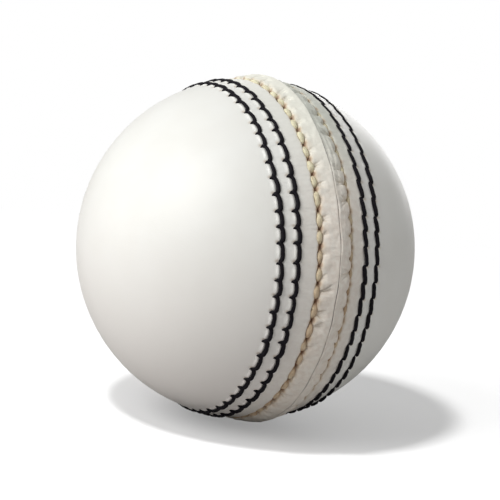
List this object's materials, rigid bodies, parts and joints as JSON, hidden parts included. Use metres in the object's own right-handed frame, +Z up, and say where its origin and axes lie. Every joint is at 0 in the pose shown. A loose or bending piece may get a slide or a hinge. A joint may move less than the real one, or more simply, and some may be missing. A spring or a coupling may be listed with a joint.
{
  "type": "cricket ball",
  "caption": "White leather cricket ball with a raised hand-sewn seam, black stitch rows either side of it, and a wound cork core.",
  "frame": {"origin": "centre of the ball", "axes": "+X runs through the middles of the two smooth cheeks, from the left cheek to the right one, so the raised seam lies in the plane X = 0. +Z is up with the ball standing on its seam"},
  "size_m": [0.0712, 0.0732, 0.0732],
  "materials": {
    "white_leather": "smooth, lightly lacquered",
    "lining_leather": "rough, undyed",
    "cork_composition": "moulded cork granules and rubber",
    "sheet_cork": "cut cork, matt",
    "worsted_yarn": "undyed wool yarn",
    "black_thread": "waxed twisted thread",
    "linen_thread": "waxed linen thread, natural",
    "quarter_thread": "waxed thread, natural"
  },
  "bodies": {
    "root": {"cork_nucleus": "cork_composition", "yarn_winding_inner": "worsted_yarn", "cork_wrap_inner_a": "sheet_cork", "cork_wrap_inner_b": "sheet_cork", "yarn_winding_middle": "worsted_yarn", "cork_wrap_outer_a": "sheet_cork", "cork_wrap_outer_b": "sheet_cork", "yarn_winding_outer": "worsted_yarn", "leather_left_back": "white_leather", "leather_left_front": "white_leather", "leather_right_top": "white_leather", "leather_right_bottom": "white_leather", "lining_strip_left": "lining_leather", "lining_strip_right": "lining_leather", "quarter_thread_left": "quarter_thread", "quarter_thread_right": "quarter_thread", "row_thread_left_outer": "black_thread", "row_thread_left_inner": "black_thread", "row_thread_right_inner": "black_thread", "row_thread_right_outer": "black_thread", "closing_thread_upper": "linen_thread", "closing_thread_lower": "linen_thread"}
  },
  "joints": []
}
